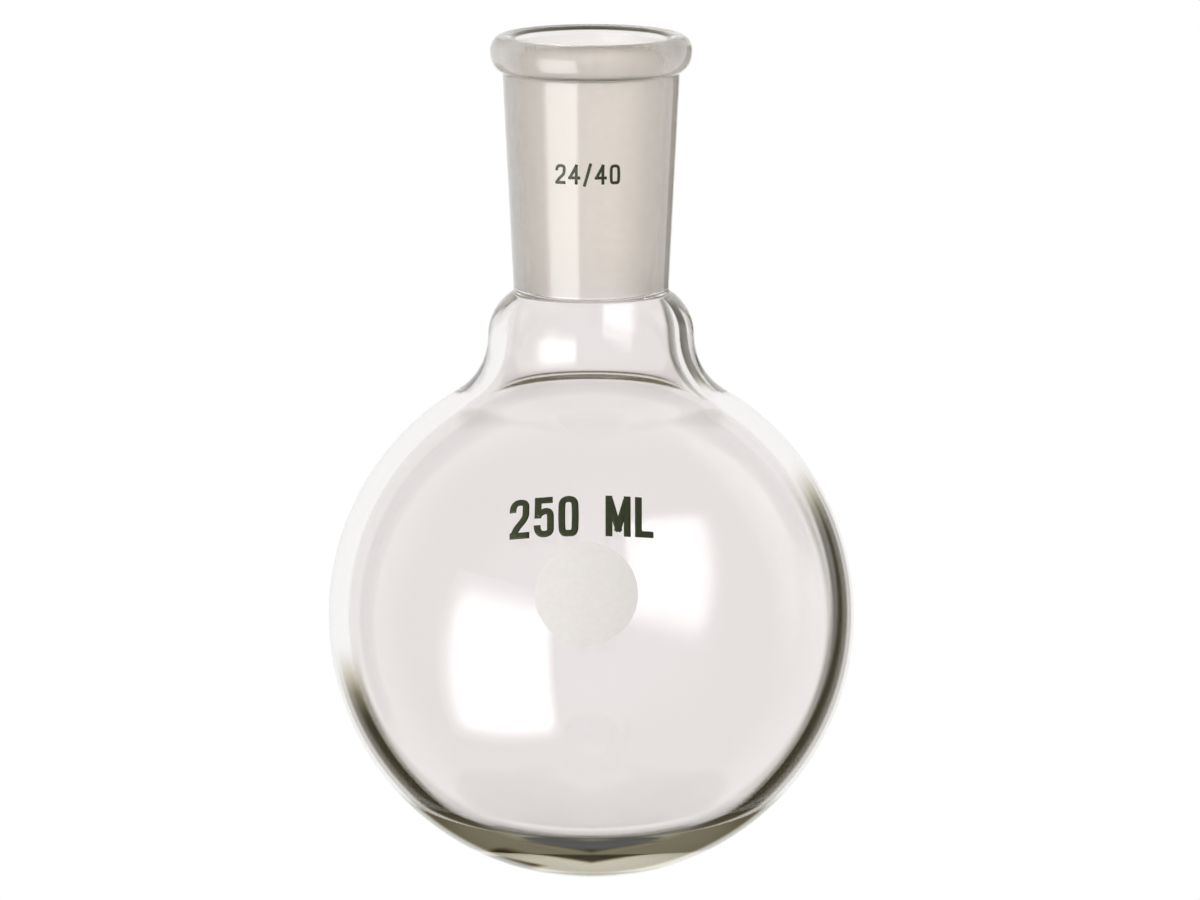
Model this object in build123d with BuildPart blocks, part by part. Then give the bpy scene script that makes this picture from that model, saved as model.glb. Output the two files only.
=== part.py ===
"""Single-neck round-bottom flask, 250 mL, with a 24/40 ground-glass socket.

The real flask is one piece of borosilicate glass: a blown bulb, its short neck and a
pressed socket are fused in a flame, so this model is one solid of revolution.

Millimetres, +Z up. The origin is the centre of the socket's mouth, level with the top of
the rim. +Z points out of the mouth, the way a mating cone leaves, and all of the glass
lies below the origin.
"""

from build123d import *

import os
from math import acos, cos, sin, sqrt

# ---- bulb ----
bulb_diameter = 85.0  # outside of the blown bulb
shoulder_radius = 11.1  # hollow between the neck and the bulb, from outside
bulb_wall = 3.2  # glass at the sides and the top of the bulb
bottom_wall = 6.2  # glass pooled in the bottom of the bulb
dish_radius = 58.0  # flatter dish that the pooled glass leaves inside
dish_blend_radius = 24.0  # round between that dish and the rest of the inside

# ---- ground socket, full length, taper 1 in 10 ----
socket_bore = 24.0  # bore at the wide end of the ground zone
ground_length = 40.0  # length of the ground zone
socket_taper = 0.1  # change of diameter over the length it happens in
socket_wall = 2.45  # glass of the socket, level with any point of the bore

# ---- rolled rim round the mouth ----
rim_diameter = 32.4  # widest part of the rim
rim_height = 5.8  # top of the rim to the crease under it
rim_widest_depth = 2.6  # top of the rim to its widest part
lip_depth = 1.4  # rounded lip above the ground zone
rim_crease_radius = 0.45  # crease under the rim

# ---- short neck between the socket and the bulb ----
neck_diameter = 33.2  # outside of the neck where its wall stands upright
neck_wall = 3.0  # glass at that height
neck_drop = 7.2  # narrow end of the ground zone to that height
seal_crease_radius = 1.0  # crease outside, where the socket is sealed to the neck
seal_edge_radius = 0.8  # edge inside, at the narrow end of the ground zone

# ---- places, as radius and height ----
ground_top_z = -lip_depth
ground_bottom_z = ground_top_z - ground_length
ground_top_radius = socket_bore / 2
ground_bottom_radius = ground_top_radius - ground_length * socket_taper / 2


def socket_radius(z):
    """Outside radius of the socket at a height, as its wall follows the bore's taper."""
    return ground_top_radius + socket_wall + (z - ground_top_z) * socket_taper / 2


rim_radius = rim_diameter / 2
rim_ridge_radius = (rim_radius + ground_top_radius) / 2
rim_widest_z = -rim_widest_depth
rim_crease = (socket_radius(-rim_height), -rim_height)
seal_crease = (socket_radius(ground_bottom_z), ground_bottom_z)
seal_edge = (ground_bottom_radius, ground_bottom_z)

neck_radius = neck_diameter / 2
neck_z = ground_bottom_z - neck_drop
neck_outside = (neck_radius, neck_z)
neck_inside = (neck_radius - neck_wall, neck_z)

# the shoulder's arc stands upright at the neck and touches the bulb, so it sets how far
# below the neck the bulb's centre lies
bulb_radius = bulb_diameter / 2
bulb_reach = bulb_radius + shoulder_radius
neck_reach = neck_radius + shoulder_radius
bulb_centre_z = neck_z - sqrt(bulb_reach**2 - neck_reach**2)
bottom_z = bulb_centre_z - bulb_radius
inner_bulb_radius = bulb_radius - bulb_wall
inner_bottom_z = bottom_z + bottom_wall


def bulb_meets_shoulder(sphere_radius, throat_radius):
    """Where a sphere about the bulb's centre meets the one arc that is tangent to it and
    runs upright into the neck."""
    rise = neck_z - bulb_centre_z
    squares = rise**2 + throat_radius**2 - sphere_radius**2
    arc_radius = squares / (2 * (sphere_radius - throat_radius))
    share = sphere_radius / (sphere_radius + arc_radius)
    return (throat_radius + arc_radius) * share, bulb_centre_z + rise * share


def dish_meets_bulb():
    """Where the dish in the bottom cuts the sphere of the bulb's inside."""
    apart = inner_bottom_z + dish_radius - bulb_centre_z
    drop = (dish_radius**2 - inner_bulb_radius**2 - apart**2) / (2 * apart)
    tilt = acos(drop / inner_bulb_radius)
    return inner_bulb_radius * sin(tilt), bulb_centre_z - inner_bulb_radius * cos(tilt)


shoulder_foot = bulb_meets_shoulder(bulb_radius, neck_outside[0])
inner_shoulder_foot = bulb_meets_shoulder(inner_bulb_radius, neck_inside[0])
dish_edge = dish_meets_bulb()

with BuildPart() as flask:
    with BuildSketch(Plane.XZ) as wall:
        with BuildLine() as outline:
            # outside, from the bottom of the bulb up to the crease under the rim
            side = (bulb_radius, bulb_centre_z)
            TangentArc((0, bottom_z), side, tangent=(1, 0))
            upper_bulb = TangentArc(side, shoulder_foot, tangent=(0, 1))
            TangentArc(shoulder_foot, neck_outside, tangent=upper_bulb % 1)
            TangentArc(neck_outside, seal_crease, tangent=(0, 1))
            Line(seal_crease, rim_crease)
            # rolled rim: its underside, its crown and the lip of the mouth
            EllipticalCenterArc(
                (rim_crease[0], rim_widest_z),
                rim_radius - rim_crease[0],
                rim_height - rim_widest_depth,
                start_angle=270,
                arc_size=90,
            )
            EllipticalCenterArc(
                (rim_ridge_radius, rim_widest_z),
                rim_radius - rim_ridge_radius,
                rim_widest_depth,
                start_angle=0,
                arc_size=90,
            )
            EllipticalCenterArc(
                (rim_ridge_radius, ground_top_z),
                rim_ridge_radius - ground_top_radius,
                lip_depth,
                start_angle=90,
                arc_size=90,
            )
            # inside, down the ground bore to the bottom of the bulb
            Line((ground_top_radius, ground_top_z), seal_edge)
            TangentArc(neck_inside, seal_edge, tangent=(0, 1))
            TangentArc(neck_inside, inner_shoulder_foot, tangent=(0, -1))
            inner_side = (inner_bulb_radius, bulb_centre_z)
            TangentArc(inner_side, inner_shoulder_foot, tangent=(0, 1))
            TangentArc(inner_side, dish_edge, tangent=(0, -1))
            TangentArc((0, inner_bottom_z), dish_edge, tangent=(1, 0))
            Line((0, inner_bottom_z), (0, bottom_z))
        make_face()
        for corner, radius in (
            (rim_crease, rim_crease_radius),
            (seal_crease, seal_crease_radius),
            (seal_edge, seal_edge_radius),
            (dish_edge, dish_blend_radius),
        ):
            nearest = wall.vertices().sort_by_distance(corner)[0]
            fillet(nearest, radius)
    revolve(axis=Axis.Z)
flask.part.label = "flask"

os.makedirs("parts", exist_ok=True)
export_step(flask.part, "parts/flask.step")
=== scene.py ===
# %% [markdown]
# # A round-bottom flask in clear glass
# The flask is one piece of borosilicate glass: a blown bulb, a short neck and a pressed
# socket, fused in a flame. Glass is hard to show well for one reason: almost everything that
# we see in it is something else, bent or mirrored. So this lesson spends its first half on
# getting the two surfaces of the wall exactly right, and its second half on what stands
# round the flask for the glass to show.
#
# The packed model is loaded first. It is the fixed frame: metres, +Z up, with the origin at
# the centre of the socket's mouth and all of the glass below it.

# %% Load the fixed frame
import math

import bmesh
import bpy
from mathutils import Matrix, Vector


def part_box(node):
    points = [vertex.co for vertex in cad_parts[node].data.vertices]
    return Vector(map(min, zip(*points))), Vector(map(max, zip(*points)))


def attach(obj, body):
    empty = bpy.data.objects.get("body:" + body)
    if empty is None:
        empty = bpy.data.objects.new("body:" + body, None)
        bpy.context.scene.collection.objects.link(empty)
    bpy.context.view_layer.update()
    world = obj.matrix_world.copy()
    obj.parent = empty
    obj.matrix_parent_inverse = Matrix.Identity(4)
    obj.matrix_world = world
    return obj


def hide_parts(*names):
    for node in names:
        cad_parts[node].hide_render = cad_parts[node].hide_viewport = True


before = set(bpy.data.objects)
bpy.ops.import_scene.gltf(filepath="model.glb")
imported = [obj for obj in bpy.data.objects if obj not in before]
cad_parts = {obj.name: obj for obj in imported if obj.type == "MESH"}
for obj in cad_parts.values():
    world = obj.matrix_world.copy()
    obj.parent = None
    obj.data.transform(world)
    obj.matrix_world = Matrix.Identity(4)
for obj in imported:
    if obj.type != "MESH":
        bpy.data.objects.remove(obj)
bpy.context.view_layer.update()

low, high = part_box("flask")
print("flask, low and high corners:", tuple(low), tuple(high))

# %% [markdown]
# ## Sizes
# The frame tells us how wide and how deep the flask is. The rest are a glassblower's sizes:
# the wall of the bulb, the glass pooled in its bottom, and the standard 24/40 socket, which
# is 24 mm across at its wide end, 40 mm long and narrows by 1 in 10.

# %% Sizes of the glass
MM = 0.001

bulb_wall = 3.2 * MM
bottom_wall = 6.2 * MM
neck_wall = 3 * MM
socket_wall = 2.45 * MM

bulb_radius = (high[0] - low[0]) / 2
bulb_z = low[2] + bulb_radius
bulb_inside = bulb_radius - bulb_wall
bottom_inside_z = low[2] + bottom_wall
dish_radius = 58 * MM
dish_blend = 24 * MM

bore_top_radius = 12 * MM
bore_bottom_radius = 10 * MM
bore_top_z = -1.4 * MM
bore_bottom_z = -41.4 * MM

rim_radius = 16.2 * MM
rim_ridge_radius = (rim_radius + bore_top_radius) / 2
rim_widest_z = -2.6 * MM
rim_crease_z = -5.8 * MM

neck_radius = 16.6 * MM
neck_inside = neck_radius - neck_wall
neck_below_bore = 7.2 * MM
neck_z = bore_bottom_z - neck_below_bore
print("bulb centre at", round(bulb_z / MM, 2), "mm, neck upright at", round(neck_z / MM, 2), "mm")


def socket_radius(z):
    """Outside radius of the socket at a height."""
    narrowing = (bore_top_radius - bore_bottom_radius) / (bore_top_z - bore_bottom_z)
    return bore_top_radius + socket_wall + (z - bore_top_z) * narrowing


# %% [markdown]
# ## Drawing the section with one vertex
# A turned shape needs only half of its section. We could type its points in, but glass
# punishes a lumpy curve, so the section is drawn as a draughtsman would: one vertex is
# carried along, straight for a run, round a centre for an arc, and round a centre and then
# squeezed for an oval. Each is an operator of Blender's own, and each leaves evenly spaced
# edges behind it.

# %% A pen made of operators


def flat(point):
    """A point of the section, given as radius and height, in the XZ plane."""
    return Vector((point[0], 0, point[1]))


def run(bm, vert, end, steps):
    """Draws a straight line from a vertex to a point, one even step at a time."""
    stride = (flat(end) - vert.co) / steps
    for _ in range(steps):
        vert = bmesh.ops.extrude_vert_indiv(bm, verts=[vert])["verts"][0]
        bmesh.ops.translate(bm, verts=[vert], vec=stride)
    return vert


def arc(bm, vert, centre, degrees, steps, squeeze=(1, 1)):
    """Draws an arc round a centre, from +X towards +Z, and squeezes it in radius and height."""
    known = set(bm.verts) - {vert}
    made = bmesh.ops.spin(
        bm,
        geom=[vert],
        cent=flat(centre),
        axis=(0, -1, 0),
        angle=math.radians(degrees),
        steps=steps,
        use_duplicate=False,
    )
    drawn = [v for v in bm.verts if v not in known]
    there = Matrix.Translation(-flat(centre))
    bmesh.ops.scale(bm, verts=drawn, vec=(squeeze[0], 1, squeeze[1]), space=there)
    return made["geom_last"][0]


print("a pen that draws in the plane of", tuple(flat((1, 0))), "and", tuple(flat((0, 1))))

# %% [markdown]
# ## The two walls
# The outside goes from the bottom of the bulb up to the mouth, and the inside comes back
# down. Every arc must meet the next with no kink, because a kink in glass shows as a line of
# light. The shoulder is the arc that touches the bulb and runs upright into the neck. Inside,
# the pooled glass in the bottom is a flatter dish, blended into the bulb.

# %% Arcs that touch


def shoulder_arc(ball, throat):
    """Radius of the arc that touches a ball about the bulb's centre and stands upright at the
    neck, and the angle at which it touches."""
    rise = neck_z - bulb_z
    radius = (rise**2 + throat**2 - ball**2) / (2 * (ball - throat))
    return radius, math.degrees(math.atan2(rise, throat + radius))


def neck_arc(throat, narrow):
    """Radius of the arc from the upright neck to the socket's end, and its angle."""
    across = throat - narrow
    up = bore_bottom_z - neck_z
    radius = (across**2 + up**2) / (2 * across)
    return radius, math.degrees(math.atan2(up, radius - across))


def blend_in_dish():
    """Centre of the blend in the bottom, and the directions to it from the bulb's centre and
    from the dish's centre."""
    apart = bottom_inside_z + dish_radius - bulb_z
    reach = bulb_inside - dish_blend
    drop = ((dish_radius - dish_blend) ** 2 - reach**2 - apart**2) / (2 * apart)
    across = math.sqrt(reach**2 - drop**2)
    from_bulb = math.degrees(math.atan2(-drop, across))
    from_dish = math.degrees(math.atan2(-drop - apart, across))
    return (across, bulb_z - drop), from_bulb, from_dish


print("shoulder: radius and angle", shoulder_arc(bulb_radius, neck_radius))

# %% Draw the section
bulb_centre = (0, bulb_z)
rim_crease = (socket_radius(rim_crease_z), rim_crease_z)
seal_crease = (socket_radius(bore_bottom_z), bore_bottom_z)
seal_edge = (bore_bottom_radius, bore_bottom_z)
under_rim = (rim_crease[0], rim_widest_z)
rim_crown = (rim_ridge_radius, rim_widest_z)
lip = (rim_ridge_radius, bore_top_z)

glass = bmesh.new()
pen = bmesh.ops.create_vert(glass, co=(0, 0, low[2]))["vert"][0]

shoulder, touch = shoulder_arc(bulb_radius, neck_radius)
pen = arc(glass, pen, bulb_centre, 90 + touch, steps=84)
pen = arc(glass, pen, (neck_radius + shoulder, neck_z), -touch, steps=14)
bend, turn = neck_arc(neck_radius, seal_crease[0])
pen = arc(glass, pen, (neck_radius - bend, neck_z), turn, steps=10)
pen = run(glass, pen, rim_crease, steps=24)
widen = (rim_radius - rim_crease[0]) / (rim_widest_z - rim_crease_z)
pen = arc(glass, pen, under_rim, 90, steps=9, squeeze=(widen, 1))
crown = -rim_widest_z / (rim_radius - rim_ridge_radius)
pen = arc(glass, pen, rim_crown, 90, steps=12, squeeze=(1, crown))
inwards = (rim_ridge_radius - bore_top_radius) / -bore_top_z
pen = arc(glass, pen, lip, 90, steps=10, squeeze=(inwards, 1))

pen = run(glass, pen, seal_edge, steps=24)
bend, turn = neck_arc(neck_inside, bore_bottom_radius)
pen = arc(glass, pen, (neck_inside - bend, neck_z), -turn, steps=10)
shoulder, touch = shoulder_arc(bulb_inside, neck_inside)
pen = arc(glass, pen, (neck_inside + shoulder, neck_z), touch, steps=14)
blend_centre, from_bulb, from_dish = blend_in_dish()
pen = arc(glass, pen, bulb_centre, from_bulb - touch, steps=62)
pen = arc(glass, pen, blend_centre, from_dish - from_bulb, steps=12)
pen = arc(glass, pen, (0, bottom_inside_z + dish_radius), -90 - from_dish, steps=12)
print("section drawn with", len(glass.verts), "points; the pen ends at", tuple(pen.co))

# %% [markdown]
# ## Turning the section
# One full turn round the axis makes the whole flask, and merging the ends closes the seam.
# Both poles of the bulb come out as a heap of vertices in one place, so doubles are removed
# before the normals are worked out. The wall is one closed skin: the outside, the rim and the
# inside are all its surface, and that is what tells the renderer where the glass is.

# %% Turn it and round its three creases
rim_crease_rounding = 0.4 * MM
seal_crease_rounding = 0.6 * MM
seal_edge_rounding = 0.45 * MM

AROUND = 256
DOUBLE = 0.001 * MM
NEAR = 0.01 * MM

bmesh.ops.spin(
    glass,
    geom=glass.verts[:] + glass.edges[:],
    cent=(0, 0, 0),
    axis=(0, 0, 1),
    angle=math.tau,
    steps=AROUND,
    use_merge=True,
    use_duplicate=False,
)
bmesh.ops.remove_doubles(glass, verts=glass.verts[:], dist=DOUBLE)


def ring(bm, place):
    """The edges of the ring at a radius and height."""
    radius, z = place
    found = []
    for edge in bm.edges:
        ends = [(math.hypot(v.co.x, v.co.y) - radius, v.co.z - z) for v in edge.verts]
        if all(abs(off) < NEAR for end in ends for off in end):
            found.append(edge)
    return found


for place, rounding in (
    (rim_crease, rim_crease_rounding),
    (seal_crease, seal_crease_rounding),
    (seal_edge, seal_edge_rounding),
):
    bmesh.ops.bevel(
        glass,
        geom=ring(glass, place),
        offset=rounding,
        offset_type="OFFSET",
        segments=4,
        profile=0.5,
        affect="EDGES",
        material=-1,
    )
bmesh.ops.recalc_face_normals(glass, faces=glass.faces[:])
print("glass:", len(glass.faces), "faces, volume", round(glass.calc_volume() / MM**3), "mm3")

# %% [markdown]
# ## Which faces are ground
# The bore of the socket is ground with grit so that it seals against a cone. It is the same
# piece of glass, so it stays in the same mesh, and only its faces take a second material. The
# grinding tool stops just short of the socket's end, where the bore runs out clear.

# %% Mark the ground bore
ground_end_z = bore_bottom_z + 0.7 * MM
CLEAR, GROUND = 0, 1

for face in glass.faces:
    middle = face.calc_center_median()
    in_bore = ground_end_z < middle.z < bore_top_z
    on_inside = math.hypot(middle.x, middle.y) < socket_radius(middle.z) - socket_wall / 2
    face.material_index = GROUND if in_bore and on_inside else CLEAR
    face.smooth = True


def piece_from(bm, name):
    """Puts a finished bmesh into the scene as a piece on the flask's only body."""
    mesh = bpy.data.meshes.new(name)
    bm.to_mesh(mesh)
    bm.free()
    piece = bpy.data.objects.new(name, mesh)
    bpy.context.scene.collection.objects.link(piece)
    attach(piece, "root")
    return piece


flask = piece_from(glass, "flask_glass")
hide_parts("flask")
print("ground faces:", sum(p.material_index == GROUND for p in flask.data.polygons))

# %% [markdown]
# ## Marks fired onto the glass
# The capacity and the size of the joint are screen printed in dark green, and below them is
# a white spot to write on. Each is a film of enamel a few hundredths of a millimetre thick
# that follows the curve of the glass. A film could be painted in a material, but glass would
# then have to be opaque in places. Real films sit on top, so these do as well: a flat shape
# is cut into small faces, wrapped onto the bulb or the socket and given its thickness.

# %% Signs as strokes
# Each sign is a few strokes in a box one unit high. A stroke of two points is a straight bar
# with square ends; a longer one is a curve that its points pull into shape.
SIGNS = {
    "2": [[(0, 0.7), (0, 1), (0.46, 1), (0.46, 0.72), (0.44, 0.5), (0.06, 0.16), (0.02, 0)],
          [(0, 0), (0.46, 0)]],
    "5": [[(0.04, 1), (0.42, 1)], [(0.04, 1), (0.03, 0.56)],
          [(0.03, 0.54), (0.14, 0.66), (0.46, 0.68), (0.46, 0.3), (0.46, 0), (0, 0), (0, 0.27)]],
    "0": [[(0.23, 1), (0.02, 1), (0, 0.66), (0, 0.34), (0.02, 0), (0.23, 0), (0.44, 0), (0.46, 0.34),
           (0.46, 0.66), (0.44, 1), (0.23, 1)]],
    "4": [[(0.38, 0), (0.38, 1)], [(0.38, 1), (0, 0.3)], [(0, 0.3), (0.52, 0.3)]],
    "/": [[(0, -0.12), (0.34, 1.08)]],
    "M": [[(0, 0), (0, 1)], [(0.05, 0.9), (0.31, 0.14)], [(0.57, 0.9), (0.31, 0.14)],
          [(0.62, 0), (0.62, 1)]],
    "L": [[(0, 0), (0, 1)], [(0, 0), (0.4, 0)]],
    " ": [],
}
print("signs:", " ".join(SIGNS))

# %% Flat films of words and a disc
FILM = 0.04 * MM


def words(text, height, weight, gap, narrow=1.0):
    """A bmesh of some signs, centred in the XY plane: their height, the width of a stroke
    and the gap between signs are in metres, and narrow squeezes each sign."""
    curve = bpy.data.curves.new("words", "CURVE")
    curve.dimensions = "3D"
    curve.bevel_depth = weight / 2
    curve.bevel_resolution = 1
    curve.use_fill_caps = True
    tall = height - weight
    start = 0.0
    for sign in text:
        end = start + (height / 4 if sign == " " else 0)
        for stroke in SIGNS[sign]:
            places = [Vector((start + x * narrow * tall, y * tall, 0)) for x, y in stroke]
            end = max([end] + [place.x for place in places])
            if len(places) == 2:
                square = (places[1] - places[0]).normalized() * weight / 2
                places = [places[0] - square, places[1] + square]
            line = curve.splines.new("NURBS")
            line.points.add(len(places) - 1)
            for point, place in zip(line.points, places):
                point.co = (*place, 1)
            line.order_u = min(3, len(places))
            line.use_endpoint_u = True
            line.resolution_u = 6
        start = end + weight + gap
    carrier = bpy.data.objects.new("words", curve)
    bpy.context.scene.collection.objects.link(carrier)
    bpy.context.view_layer.update()
    mesh = bpy.data.meshes.new_from_object(carrier)
    bm = bmesh.new()
    bm.from_mesh(mesh)
    bpy.data.objects.remove(carrier)
    bpy.data.meshes.remove(mesh)
    xs = [v.co.x for v in bm.verts]
    middle = Vector(((min(xs) + max(xs)) / 2, tall / 2, 0))
    bmesh.ops.translate(bm, verts=bm.verts[:], vec=-middle)
    bmesh.ops.scale(bm, verts=bm.verts[:], vec=(1, 1, FILM / weight))
    return bm


def disc(radius):
    """A bmesh of a round disc, centred in the XY plane."""
    bm = bmesh.new()
    bmesh.ops.create_cone(
        bm, cap_ends=True, segments=96, radius1=radius, radius2=radius, depth=FILM
    )
    return bm


print("films are", round(FILM / MM, 3), "mm thick")

# %% Wrap a film onto the glass
FILM_GAP = 0.01 * MM
FILM_GRID = 0.8 * MM


def dice(bm, pitch):
    """Cuts a film along a square grid, so that it can bend."""
    for axis in range(2):
        reach = max(abs(v.co[axis]) for v in bm.verts)
        lines = int(reach / pitch)
        normal = Vector((0, 0, 0))
        normal[axis] = 1
        for i in range(-lines, lines + 1):
            everything = bm.verts[:] + bm.edges[:] + bm.faces[:]
            bmesh.ops.bisect_plane(bm, geom=everything, plane_co=normal * i * pitch, plane_no=normal)


def onto_bulb(x, y, lift, latitude):
    """A place on the front of the bulb: x to the right of and y above a point at a latitude,
    and lifted off the glass. Lines of one x stay upright as seen from the front."""
    radius = bulb_radius + lift
    level = radius * math.cos(x / bulb_radius)
    turn = latitude + y / bulb_radius
    across = radius * math.sin(x / bulb_radius)
    return Vector((across, -level * math.cos(turn), bulb_z + level * math.sin(turn)))


def onto_socket(x, y, lift, z):
    """A place on the front of the socket: x to the right of and y above a point at a height,
    and lifted off the glass."""
    radius = socket_radius(z + y)
    lon = x / radius
    return Vector(((radius + lift) * math.sin(lon), -(radius + lift) * math.cos(lon), z + y))


def film(bm, name, wrap):
    """Wraps a flat film onto the glass, with its middle a little off the surface."""
    bmesh.ops.remove_doubles(bm, verts=bm.verts[:], dist=DOUBLE)
    dice(bm, FILM_GRID)
    for vert in bm.verts:
        vert.co = wrap(vert.co.x, vert.co.y, vert.co.z + FILM / 2 + FILM_GAP)
    bmesh.ops.recalc_face_normals(bm, faces=bm.faces[:])
    piece = piece_from(bm, name)
    print(name, "has", len(piece.data.polygons), "faces")
    return piece


print("the front of the bulb is at", tuple(onto_bulb(0, 0, 0, 0)))

# %% Capacity, joint size and the spot to write on
capacity_latitude = math.radians(32.75)
capacity_left = 1.6 * MM
joint_mark_z = -20.7 * MM
joint_mark_left = 0.6 * MM
spot_latitude = math.radians(15.7)
spot_left = 0.8 * MM
spot_radius = 8.15 * MM

capacity = film(
    words("250 ML", height=6.9 * MM, weight=1.1 * MM, gap=0.68 * MM, narrow=0.8),
    "capacity_mark",
    lambda x, y, lift: onto_bulb(x - capacity_left, y, lift, capacity_latitude),
)
joint_size = film(
    words("24/40", height=3.2 * MM, weight=0.48 * MM, gap=0.47 * MM),
    "joint_size_mark",
    lambda x, y, lift: onto_socket(x - joint_mark_left, y, lift, joint_mark_z),
)
spot = film(
    disc(spot_radius),
    "writing_spot",
    lambda x, y, lift: onto_bulb(x - spot_left, y, lift, spot_latitude),
)

# %% [markdown]
# ## Shared effects
# Hand-worked glass is never quite even. Fire polish leaves long soft waves, while ground
# glass and enamel have grain. All are noise at a given scale, so one node group makes the
# height and the mask, and each finish places it with its own values.

# %% A node group for waves and grain


def uneven_group():
    """Noise in the piece's own coordinates, as a height for Bump or a mask for colours."""
    group = bpy.data.node_groups.new("Uneven surface", "ShaderNodeTree")
    group.interface.new_socket("Scale", in_out="INPUT", socket_type="NodeSocketFloat")
    group.interface.new_socket("Detail", in_out="INPUT", socket_type="NodeSocketFloat")
    group.interface.new_socket("Height", in_out="OUTPUT", socket_type="NodeSocketFloat")
    nodes, links = group.nodes, group.links
    ins = nodes.new("NodeGroupInput")
    outs = nodes.new("NodeGroupOutput")
    place = nodes.new("ShaderNodeTexCoord")
    noise = nodes.new("ShaderNodeTexNoise")
    noise.inputs["Roughness"].default_value = 0.5
    links.new(place.outputs["Object"], noise.inputs["Vector"])
    links.new(ins.outputs["Scale"], noise.inputs["Scale"])
    links.new(ins.outputs["Detail"], noise.inputs["Detail"])
    links.new(noise.outputs["Fac"], outs.inputs["Height"])
    return group


UNEVEN = uneven_group()
print(UNEVEN.name, "has", [socket.name for socket in UNEVEN.interface.items_tree])

# %% A short way to write a finish


class Finish:
    """A material with one Principled shader, and short ways to add to it."""

    def __init__(self, name):
        self.material = bpy.data.materials.new(name)
        self.material.use_nodes = True
        self.nodes = self.material.node_tree.nodes
        self.links = self.material.node_tree.links
        self.shader = self.nodes["Principled BSDF"]

    def set(self, **values):
        for socket, value in values.items():
            self.shader.inputs[socket.replace("_", " ")].default_value = value

    def uneven(self, scale, detail=2):
        node = self.nodes.new("ShaderNodeGroup")
        node.node_tree = UNEVEN
        node.inputs["Scale"].default_value = scale
        node.inputs["Detail"].default_value = detail
        return node.outputs["Height"]

    def colours(self, mask, dark, light):
        """Two colours that follow a noise, which stays mostly between 0.3 and 0.7."""
        ramp = self.nodes.new("ShaderNodeValToRGB")
        ramp.color_ramp.elements[0].position = 0.3
        ramp.color_ramp.elements[0].color = (*dark, 1)
        ramp.color_ramp.elements[1].position = 0.7
        ramp.color_ramp.elements[1].color = (*light, 1)
        self.links.new(mask, ramp.inputs["Fac"])
        self.links.new(ramp.outputs["Color"], self.shader.inputs["Base Color"])

    def spread(self, mask, socket, least, most):
        ranged = self.nodes.new("ShaderNodeMapRange")
        ranged.inputs["To Min"].default_value = least
        ranged.inputs["To Max"].default_value = most
        self.links.new(mask, ranged.inputs["Value"])
        self.links.new(ranged.outputs["Result"], self.shader.inputs[socket])

    def bump(self, height, distance):
        bump = self.nodes.new("ShaderNodeBump")
        bump.inputs["Distance"].default_value = distance
        bump.inputs["Strength"].default_value = 1.0
        self.links.new(height, bump.inputs["Height"])
        self.links.new(bump.outputs["Normal"], self.shader.inputs["Normal"])


print("a finish can be", [way for way in vars(Finish) if not way.startswith("_")])

# %% [markdown]
# ## Clear glass
# Borosilicate glass bends light with an index of 1.47. Its colour is close to none, but a
# touch of grey in each surface stands for what the wall absorbs. The noises are given by
# their scale, in waves to the metre, and their detail, and each bump by its height.

# %% Clear and ground glass
GLASS_INDEX = 1.47

clear = Finish("Clear borosilicate glass")
clear.set(Roughness=0.0, Metallic=0.0, Transmission_Weight=1.0, IOR=GLASS_INDEX)
clear.colours(clear.uneven(scale=40), (0.914, 0.889, 0.888), (0.928, 0.904, 0.903))
clear.bump(clear.uneven(scale=22, detail=1), 0.02 * MM)

ground = Finish("Ground glass of the bore")
ground.set(Metallic=0.0, Transmission_Weight=1.0, IOR=GLASS_INDEX)
ground.colours(ground.uneven(scale=900, detail=3), (0.92, 0.868, 0.80), (0.975, 0.923, 0.855))
ground.spread(ground.uneven(scale=400, detail=3), "Roughness", 0.48, 0.62)
ground.bump(ground.uneven(scale=5000), 0.02 * MM)

flask.data.materials.append(clear.material)
flask.data.materials.append(ground.material)
print(flask.name, "is", [material.name for material in flask.data.materials])

# %% [markdown]
# ## Enamels
# Enamel is ground coloured glass, fired on. The green of the lettering is so dark that it
# reads as black until light falls straight onto it. The white of the writing spot is fired
# less, so that it stays matt and takes a pencil.

# %% Green and white enamel
green = Finish("Dark green enamel")
green.colours(green.uneven(scale=1500), (0.024, 0.031, 0.007), (0.034, 0.043, 0.012))
green.spread(green.uneven(scale=700, detail=3), "Roughness", 0.38, 0.55)
green.bump(green.uneven(scale=2500), 0.008 * MM)

white = Finish("White marking enamel")
white.colours(white.uneven(scale=1200, detail=3), (0.80, 0.765, 0.735), (0.83, 0.795, 0.765))
white.spread(white.uneven(scale=900), "Roughness", 0.6, 0.8)
white.bump(white.uneven(scale=3000, detail=3), 0.004 * MM)

capacity.data.materials.append(green.material)
joint_size.data.materials.append(green.material)
spot.data.materials.append(white.material)
print(capacity.name, "and", joint_size.name, "are", green.material.name)
print(spot.name, "is", white.material.name)

# %% [markdown]
# ## The studio
# Glass photographers work with cards: white ones that the glass mirrors as windows, and
# black ones, called flags, that draw its edges. The edge of a bulb is a prism all the way
# round: it shows us what stands up to 37 degrees to that side of our line of sight. So a
# flag on the right gives the bulb a dark right edge and changes nothing else. The pooled
# glass in the bottom turns our sight upwards, so a flag above draws lines in it, and the
# glass's own colour, which comes later, makes its dark band.
#
# Cards and flags are soft. A node group takes coordinates that run from -1 to 1 across a
# card, and gives a mask that rises from each edge at its own pace.

# %% A node group for soft edges


def calculate(nodes, links, operation, *values):
    """A math node: its values are numbers or the outputs of other nodes."""
    node = nodes.new("ShaderNodeMath")
    node.operation = operation
    for socket, value in zip(node.inputs, values):
        if isinstance(value, (int, float)):
            socket.default_value = value
        else:
            links.new(value, socket)
    return node.outputs[0]


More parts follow.
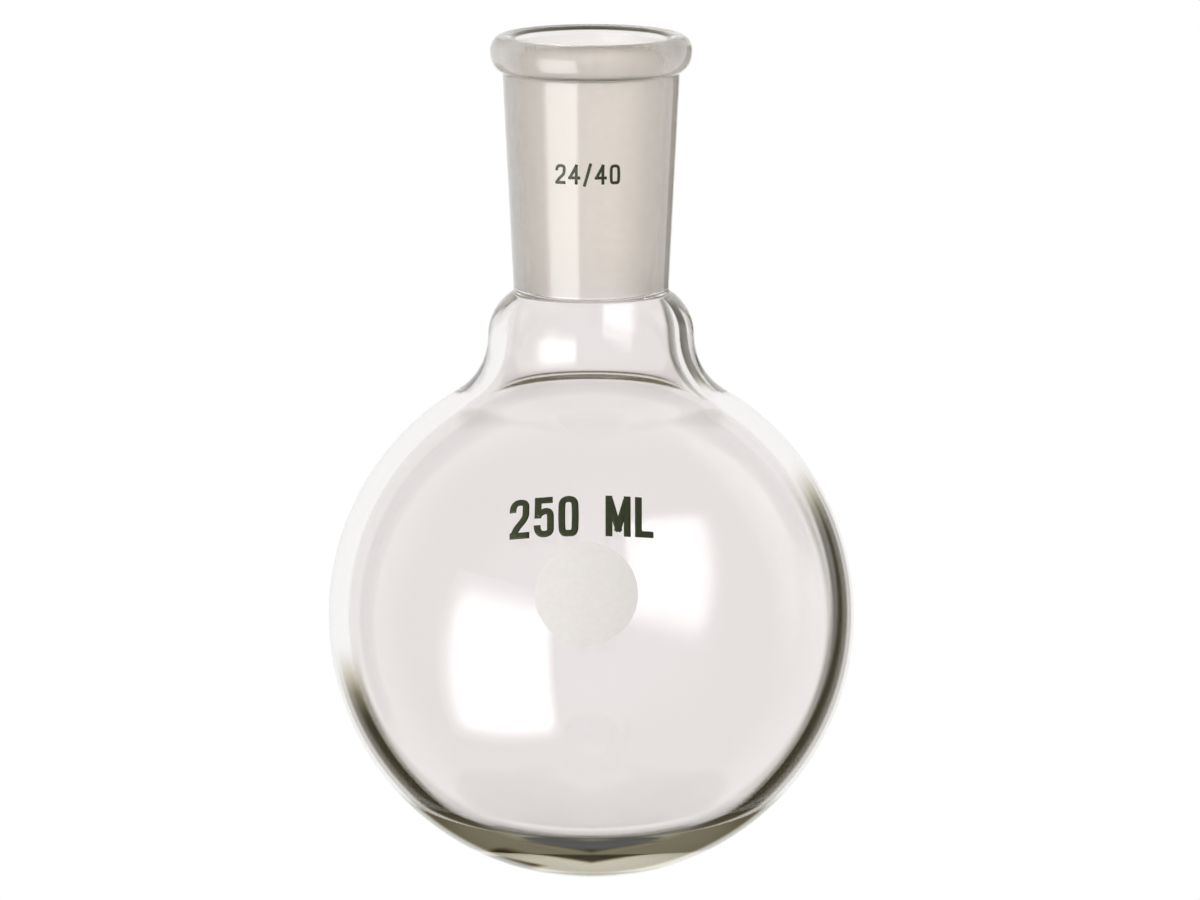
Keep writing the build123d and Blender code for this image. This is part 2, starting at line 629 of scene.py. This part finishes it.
def soft_group():
    """A mask: 0 at the edges of a card and 1 in its middle, and how far in it gets there."""
    group = bpy.data.node_groups.new("Soft edges", "ShaderNodeTree")
    for name in ("X", "Y", "Left", "Right", "Bottom", "Top"):
        group.interface.new_socket(name, in_out="INPUT", socket_type="NodeSocketFloat")
    group.interface.new_socket("Mask", in_out="OUTPUT", socket_type="NodeSocketFloat")
    nodes, links = group.nodes, group.links
    ins = nodes.new("NodeGroupInput")
    outs = nodes.new("NodeGroupOutput")
    mask = 1.0
    for side, axis, sign in (("Left", "X", 1), ("Right", "X", -1), ("Bottom", "Y", 1), ("Top", "Y", -1)):
        inward = calculate(nodes, links, "MULTIPLY_ADD", ins.outputs[axis], sign, 1)
        rise = nodes.new("ShaderNodeMapRange")
        rise.interpolation_type = "SMOOTHSTEP"
        links.new(inward, rise.inputs["Value"])
        links.new(ins.outputs[side], rise.inputs["From Max"])
        mask = calculate(nodes, links, "MULTIPLY", mask, rise.outputs["Result"])
    links.new(mask, outs.inputs["Mask"])
    return group


SOFT = soft_group()


def soft_edges(nodes, links, x, y, soft):
    node = nodes.new("ShaderNodeGroup")
    node.node_tree = SOFT
    links.new(x, node.inputs["X"])
    links.new(y, node.inputs["Y"])
    for side, reach in zip(("Left", "Right", "Bottom", "Top"), soft):
        node.inputs[side].default_value = reach
    return node.outputs["Mask"]


def shaded(nodes, links, mask, shades):
    """Colours from the edge of a card to its middle."""
    ramp = nodes.new("ShaderNodeValToRGB")
    while len(ramp.color_ramp.elements) < len(shades):
        ramp.color_ramp.elements.new(0.5)
    for i, shade in enumerate(shades):
        ramp.color_ramp.elements[i].position = i / (len(shades) - 1)
        ramp.color_ramp.elements[i].color = (*shade, 1)
    links.new(mask, ramp.inputs["Fac"])
    return ramp.outputs["Color"]


print(SOFT.name, "has", [socket.name for socket in SOFT.interface.items_tree])

# %% [markdown]
# The flags stand far off, so they are part of the world. One is a horseshoe round the line
# of sight, which runs 10 degrees down: it goes from the lower left, below the flask, where it
# is broadest, and up the right side. The other hangs above the sheet behind the flask, and its
# lower edge rises to both sides like a gable turned over. They are shaded in a warm olive
# grey, pale at the edge and nearly black inside, as a dim room looks past the end of a white
# sheet. What stands further aside than they do is a faint olive, which the rim and the socket
# gather, and it ends before it comes round to the camera.

# %% Directions in the world
SIGHT_DOWN = math.radians(10)

world = bpy.data.worlds.new("Studio")
bpy.context.scene.world = world
world.use_nodes = True
nodes, links = world.node_tree.nodes, world.node_tree.links
for node in list(nodes):
    nodes.remove(node)
place = nodes.new("ShaderNodeTexCoord")
split = nodes.new("ShaderNodeSeparateXYZ")
links.new(place.outputs["Object"], split.inputs[0])


def degrees(operation, *values):
    return calculate(nodes, links, "MULTIPLY", calculate(nodes, links, operation, *values), 180 / math.pi)


def along(y_part, z_part):
    """How far a ray runs along a direction in the plane of symmetry."""
    lift = calculate(nodes, links, "MULTIPLY", split.outputs["Z"], z_part)
    return calculate(nodes, links, "MULTIPLY_ADD", split.outputs["Y"], y_part, lift)


azimuth = degrees("ARCTAN2", split.outputs["X"], split.outputs["Y"])
elevation = degrees("ARCSINE", split.outputs["Z"])
ahead = along(math.cos(SIGHT_DOWN), -math.sin(SIGHT_DOWN))
down = along(-math.sin(SIGHT_DOWN), -math.cos(SIGHT_DOWN))
off_sight = degrees("ARCCOSINE", ahead)
round_sight = degrees("ARCTAN2", split.outputs["X"], down)
print("directions in", len(nodes), "nodes")

# %% Three flags
WHITE = (1.0, 1.0, 1.0)
FAINT = (0.70, 0.675, 0.585)
PALE = (0.63, 0.60, 0.50)
OLIVE = (0.22, 0.205, 0.14)
DARK = (0.045, 0.039, 0.024)


def flag(x, y, reach, soft, shades):
    """A soft patch of the world, in degrees: reach is its left, right, bottom and top, and
    soft is how far in from each of them it takes to go through the shades."""
    left, right, bottom, top = reach
    wide, tall = (right - left) / 2, (top - bottom) / 2
    x = calculate(nodes, links, "MULTIPLY_ADD", x, 1 / wide, -(left + right) / 2 / wide)
    y = calculate(nodes, links, "MULTIPLY_ADD", y, 1 / tall, -(bottom + top) / 2 / tall)
    edges = (soft[0] / wide, soft[1] / wide, soft[2] / tall, soft[3] / tall)
    return shaded(nodes, links, soft_edges(nodes, links, x, y, edges), shades)


BROADER_BELOW = 0.25
GABLE_RISE = 0.8
ALL_ROUND = 200

downward = calculate(nodes, links, "COSINE", calculate(nodes, links, "RADIANS", round_sight))
shrink = calculate(nodes, links, "MULTIPLY_ADD", downward, -BROADER_BELOW, 1)
off_curve = calculate(nodes, links, "MULTIPLY", off_sight, shrink)
horseshoe = flag(
    round_sight,
    off_curve,
    reach=(-82, 126, 16, 45),
    soft=(20, 20, 7, 6),
    shades=(WHITE, PALE, OLIVE, DARK),
)
off_centre = calculate(nodes, links, "ABSOLUTE", azimuth)
gable = calculate(nodes, links, "MULTIPLY_ADD", off_centre, -GABLE_RISE, elevation)
above = flag(
    azimuth,
    gable,
    reach=(-40, 40, 3, 50),
    soft=(10, 10, 8, 12),
    shades=(WHITE, PALE, OLIVE, DARK),
)
aside = flag(
    round_sight,
    off_sight,
    reach=(-ALL_ROUND, ALL_ROUND, 50, 150),
    soft=(1, 1, 35, 40),
    shades=(WHITE, FAINT),
)


def both(one, other):
    """The light that is left by one flag and then by another."""
    node = nodes.new("ShaderNodeMix")
    node.data_type = "RGBA"
    node.blend_type = "MULTIPLY"
    node.inputs["Factor"].default_value = 1
    links.new(one, node.inputs["A"])
    links.new(other, node.inputs["B"])
    return node.outputs["Result"]


flags = both(both(horseshoe, above), aside)
print("three flags in", len(nodes), "nodes")

# %% [markdown]
# White is not a lot of light here: a bright room would wash the enamels out. Instead the
# world is chosen by the kind of ray. Rays straight from the camera meet plain white. Rays
# that have passed through glass meet white and the flags. Rays that light the enamels meet
# a soft grey. Mirrored rays meet the horseshoe too, in a room that is pale behind the flask
# and darker round the camera, as a studio is.
#
# Glass also has a colour of its own, which shows only where light has a long way through it.
# Light through the two walls of the bulb meets four surfaces. Light that is thrown to and fro
# in the pooled bottom meets seven to eleven, and a thin line at each end of the rim meets more.
# So the number of surfaces stands for the length of the way: past five, light turns to cream
# and then to a dark olive. The renderer counts the ray from the camera too, so its depth is
# one more than that number.

# %% World by the kind of ray


def background(colour=None, strength=1.0):
    node = nodes.new("ShaderNodeBackground")
    node.inputs["Color"].default_value = (1, 1, 1, 1)
    if colour is not None:
        links.new(colour, node.inputs["Color"])
    if isinstance(strength, float):
        node.inputs["Strength"].default_value = strength
    else:
        links.new(strength, node.inputs["Strength"])
    return node


def choose(mask, without, with_mask):
    node = nodes.new("ShaderNodeMixShader")
    links.new(mask, node.inputs["Fac"])
    links.new(without.outputs[0], node.inputs[1])
    links.new(with_mask.outputs[0], node.inputs[2])
    return node


ROUND_CAMERA = 0.25
ON_ENAMEL = 0.68
CREAM = (0.80, 0.78, 0.64)
CLEAR_DEPTH = 5 + 1
DARK_DEPTH = 11 + 1

behind = nodes.new("ShaderNodeMapRange")
behind.inputs["From Min"].default_value = -0.1
behind.inputs["From Max"].default_value = 0.3
behind.inputs["To Min"].default_value = ROUND_CAMERA
links.new(split.outputs["Y"], behind.inputs["Value"])
path = nodes.new("ShaderNodeLightPath")
long_way = nodes.new("ShaderNodeMapRange")
long_way.inputs["From Min"].default_value = CLEAR_DEPTH
long_way.inputs["From Max"].default_value = DARK_DEPTH
links.new(path.outputs["Ray Depth"], long_way.inputs["Value"])
absorbed = shaded(nodes, links, long_way.outputs["Result"], (WHITE, CREAM, OLIVE, OLIVE))
lit = background(strength=ON_ENAMEL)
mirrored = choose(path.outputs["Is Glossy Ray"], lit, background(horseshoe, behind.outputs["Result"]))
bent = choose(path.outputs["Is Transmission Ray"], mirrored, background(both(flags, absorbed)))
room = choose(path.outputs["Is Camera Ray"], bent, background())
end = nodes.new("ShaderNodeOutputWorld")
links.new(room.outputs[0], end.inputs["Surface"])
print("world of", len(nodes), "nodes")

# %% [markdown]
# One softbox stands left of the camera. The front of the bulb mirrors it as a bright window
# on the left, and the hollow back of the bulb mirrors it again, upside down, as a dimmer one
# on the right. A lamp that the glass can't see lights the enamels from the same side.

# %% A card that faces the bulb


def card(name, azimuth, elevation, distance, width, height, roll, soft, shades):
    """A card that faces the bulb, seen by the glass but not by the camera. Its direction, its
    size and its roll are in degrees as seen from the bulb."""
    az, el = math.radians(azimuth), math.radians(elevation)
    away = Vector((math.sin(az) * math.cos(el), math.cos(az) * math.cos(el), math.sin(el)))
    bm = bmesh.new()
    bmesh.ops.create_grid(bm, x_segments=1, y_segments=1, size=1)
    mesh = bpy.data.meshes.new(name)
    bm.to_mesh(mesh)
    bm.free()
    obj = bpy.data.objects.new(name, mesh)
    bpy.context.scene.collection.objects.link(obj)
    across = distance * math.tan(math.radians(width / 2))
    tall = distance * math.tan(math.radians(height / 2))
    obj.matrix_world = (
        Matrix.Translation(Vector((0, 0, bulb_z)) + away * distance)
        @ (-away).to_track_quat("Z", "Y").to_matrix().to_4x4()
        @ Matrix.Rotation(math.radians(roll), 4, "Z")
        @ Matrix.Diagonal((across, tall, 1, 1))
    )
    material = bpy.data.materials.new(name)
    material.use_nodes = True
    nodes, links = material.node_tree.nodes, material.node_tree.links
    for node in list(nodes):
        nodes.remove(node)
    place = nodes.new("ShaderNodeTexCoord")
    split = nodes.new("ShaderNodeSeparateXYZ")
    links.new(place.outputs["Object"], split.inputs[0])
    mask = soft_edges(nodes, links, split.outputs["X"], split.outputs["Y"], soft)
    glow = nodes.new("ShaderNodeEmission")
    links.new(shaded(nodes, links, mask, shades), glow.inputs["Color"])
    last = nodes.new("ShaderNodeOutputMaterial")
    links.new(glow.outputs[0], last.inputs["Surface"])
    mesh.materials.append(material)
    obj.visible_camera = False
    obj.visible_diffuse = False
    obj.visible_shadow = False
    return obj


print("cards face the point", (0, 0, round(bulb_z, 4)))

# %% Softbox and lamp
softbox = card(
    "softbox",
    azimuth=-138,
    elevation=-11,
    distance=0.5,
    width=52,
    height=66,
    roll=4,
    soft=(0.25, 0.5, 0.3, 0.6),
    shades=(WHITE, (3.4, 3.4, 3.4), (6, 6, 6)),
)

key = bpy.data.lights.new("key", "AREA")
key.energy = 7
key.size = 0.8
key_obj = bpy.data.objects.new("key", key)
key_obj.location = (-0.8, -0.9, 0.6)
key_obj.rotation_euler = (Vector((0, 0, bulb_z)) - key_obj.location).to_track_quat("-Z", "Y").to_euler()
bpy.context.scene.collection.objects.link(key_obj)
key_obj.visible_glossy = False
key_obj.visible_transmission = False
print("softbox at", tuple(round(x, 3) for x in softbox.matrix_world.translation))

# %% [markdown]
# ## The floor
# A round flask can't stand, so it is shown as it is used, held upright by its neck well
# above a plain floor. The floor is a pale matt grey that takes the flask's shadow, and for the
# camera it fades into plain white a metre away, as a curved paper sweep does. Glass would show
# its horizon, so the floor is hidden from it.

# %% A plain pale floor
FLOOR_Z = -0.45
FLOOR_REACH = 12
FADE_FROM = 0.9
FADE_TO = 1.3
WHITE_UNDER_FLASK = 0.6

bm = bmesh.new()
bmesh.ops.create_grid(bm, x_segments=1, y_segments=1, size=FLOOR_REACH)
bmesh.ops.translate(bm, verts=bm.verts[:], vec=(0, 0, FLOOR_Z))
mesh = bpy.data.meshes.new("floor")
bm.to_mesh(mesh)
bm.free()
floor = bpy.data.objects.new("floor", mesh)
bpy.context.scene.collection.objects.link(floor)
paint = bpy.data.materials.new("Pale floor")
paint.use_nodes = True
nodes, links = paint.node_tree.nodes, paint.node_tree.links
matt = nodes["Principled BSDF"]
matt.inputs["Base Color"].default_value = (0.8, 0.79, 0.78, 1)
matt.inputs["Roughness"].default_value = 0.9
place = nodes.new("ShaderNodeTexCoord")
away = nodes.new("ShaderNodeVectorMath")
away.operation = "LENGTH"
links.new(place.outputs["Object"], away.inputs[0])
whiter = nodes.new("ShaderNodeMapRange")
whiter.inputs["From Min"].default_value = FADE_FROM
whiter.inputs["From Max"].default_value = FADE_TO
whiter.inputs["To Min"].default_value = WHITE_UNDER_FLASK
links.new(away.outputs["Value"], whiter.inputs["Value"])
path = nodes.new("ShaderNodeLightPath")
white_part = calculate(
    nodes, links, "MULTIPLY", whiter.outputs["Result"], path.outputs["Is Camera Ray"]
)
plain = nodes.new("ShaderNodeEmission")
either = nodes.new("ShaderNodeMixShader")
links.new(white_part, either.inputs["Fac"])
links.new(matt.outputs[0], either.inputs[1])
links.new(plain.outputs[0], either.inputs[2])
links.new(either.outputs[0], nodes["Material Output"].inputs["Surface"])
mesh.materials.append(paint)
floor.visible_glossy = False
floor.visible_transmission = False
print("floor", round((low[2] - FLOOR_Z) / MM), "mm below the flask")

# %% [markdown]
# ## The camera
# A long lens from more than a metre away keeps the rim and the bulb in proportion, and it
# looks down 10 degrees, so that the mouth opens into an oval. The colours are shown as they
# are, with no film curve, so that white stays white. A ray of light can bounce many times
# between the two faces of a wall before it leaves, and when it is cut off too soon it leaves a
# black outline, so many bounces are allowed.

# %% Camera and bounces
BOUNCES = 160

camera = bpy.data.cameras.new("camera")
camera.lens = 234.4
camera.sensor_width = 36
eye = bpy.data.objects.new("camera", camera)
eye.location = (0, -1.2407, 0.1523)
aim = Vector((0.0014, 0, -0.0674))
eye.rotation_euler = (aim - eye.location).to_track_quat("-Z", "Y").to_euler()
bpy.context.scene.collection.objects.link(eye)
bpy.context.scene.camera = eye
bpy.context.scene.view_settings.view_transform = "Standard"
cycles = bpy.context.scene.cycles
cycles.max_bounces = BOUNCES
cycles.transmission_bounces = BOUNCES
cycles.glossy_bounces = BOUNCES
print("camera", round((aim - eye.location).length, 3), "m from what it looks at")
